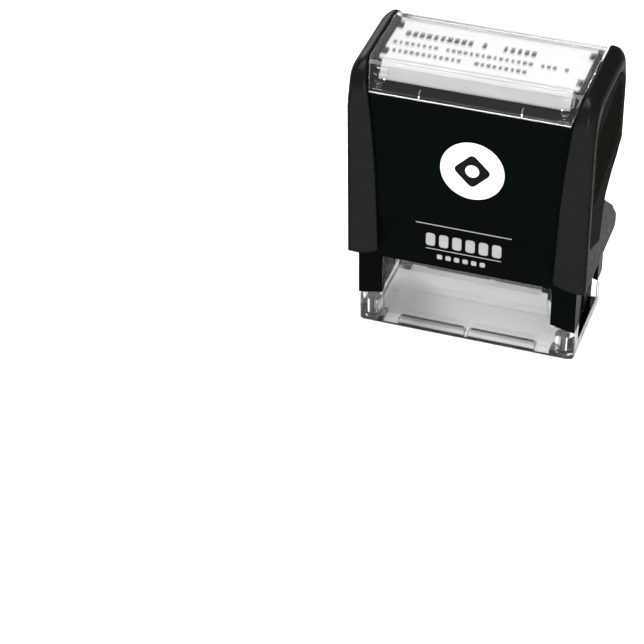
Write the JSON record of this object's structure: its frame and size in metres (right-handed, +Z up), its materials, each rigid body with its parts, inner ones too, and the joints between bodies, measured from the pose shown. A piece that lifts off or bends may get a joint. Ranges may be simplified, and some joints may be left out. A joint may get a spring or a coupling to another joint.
{
  "type": "self inking stamp",
  "caption": "Self-inking desk stamp: press the arched handle and the sprung die turns over from its ink pad to print through the clear foot.",
  "frame": {"origin": "centre of the foot's underside, at the bottom centre of the bounding box", "axes": "+X across the stamp to its right, -Y the front with the emblem, +Z up"},
  "size_m": [0.0672, 0.0368, 0.0834],
  "materials": {
    "frame_black": "moulded black ABS, satin gloss",
    "clear_acrylic": "clear moulded acrylic",
    "pad_rubber": "soft black rubber",
    "silver_print": "silver pad print",
    "tray_black": "moulded black plastic",
    "pad_felt": "ink-soaked felt",
    "holder_black": "moulded black plastic",
    "die_foam": "closed-cell foam",
    "plate_rubber": "laser-cut rubber",
    "pin_steel": "turned steel",
    "cam_acetal": "dark acetal",
    "spring_steel": "music wire",
    "yoke_black": "moulded black ABS",
    "panel_black": "moulded black ABS, polished",
    "arm_gray": "moulded anthracite ABS, satin",
    "grip_rubber": "soft black grip rubber",
    "tray_white": "white moulded plastic",
    "card_paper": "white card",
    "clear_cover": "clear moulded acrylic",
    "emblem_white": "white vinyl",
    "emblem_black": "black vinyl",
    "button_black": "moulded plastic"
  },
  "bodies": {
    "base": {"body_frame": "frame_black", "base_foot": "clear_acrylic", "foot_pads": "pad_rubber", "nameplate_print": "silver_print", "return_spring": "spring_steel"},
    "cartridge": {"ink_tray": "tray_black", "ink_pad": "pad_felt"},
    "handle": {"yoke": "yoke_black", "front_panel": "panel_black", "rear_panel": "panel_black", "panel_rule": "silver_print", "arm_shell_right": "arm_gray", "arm_shell_left": "arm_gray", "grip_right": "grip_rubber", "grip_left": "grip_rubber", "card_tray": "tray_white", "index_card": "card_paper", "emblem_disc": "emblem_white", "emblem_mark": "emblem_black"},
    "cover": {"index_cover": "clear_cover"},
    "lock_right": {"lock_button_right": "button_black"},
    "lock_left": {"lock_button_left": "button_black"},
    "die": {"die_holder": "holder_black", "die_foam": "die_foam", "text_plate": "plate_rubber", "axle_pins": "pin_steel", "cam_followers": "cam_acetal"}
  },
  "joints": [
    {"name": "handle_press", "type": "slide", "parent": "base", "child": "handle", "axis": [0, 0, -1], "range_m": [0, 0.019], "stiffness_N_per_m": 630, "springref_m": -0.0127, "deforming": ["return_spring"]},
    {"name": "die_flip", "type": "hinge", "parent": "handle", "child": "die", "pos_m": [0, 0, 0.0266], "axis": [1, 0, 0], "range_deg": [0, 180]},
    {"name": "cartridge_slide", "type": "slide", "parent": "base", "child": "cartridge", "axis": [0, 1, 0], "range_m": [0, 0.03]},
    {"name": "cover_lift", "type": "slide", "parent": "handle", "child": "cover", "axis": [0, 0, 1], "range_m": [0, 0.02]},
    {"name": "lock_right_press", "type": "slide", "parent": "handle", "child": "lock_right", "axis": [-1, 0, 0], "range_m": [0, 0.001], "stiffness_N_per_m": 400, "springref_m": -0.002},
    {"name": "lock_left_press", "type": "slide", "parent": "handle", "child": "lock_left", "axis": [1, 0, 0], "range_m": [0, 0.001], "stiffness_N_per_m": 400, "springref_m": -0.002}
  ],
  "couplings": [
    {"joint": "die_flip", "follows": "handle_press", "rad_per_m": 165.34}
  ]
}
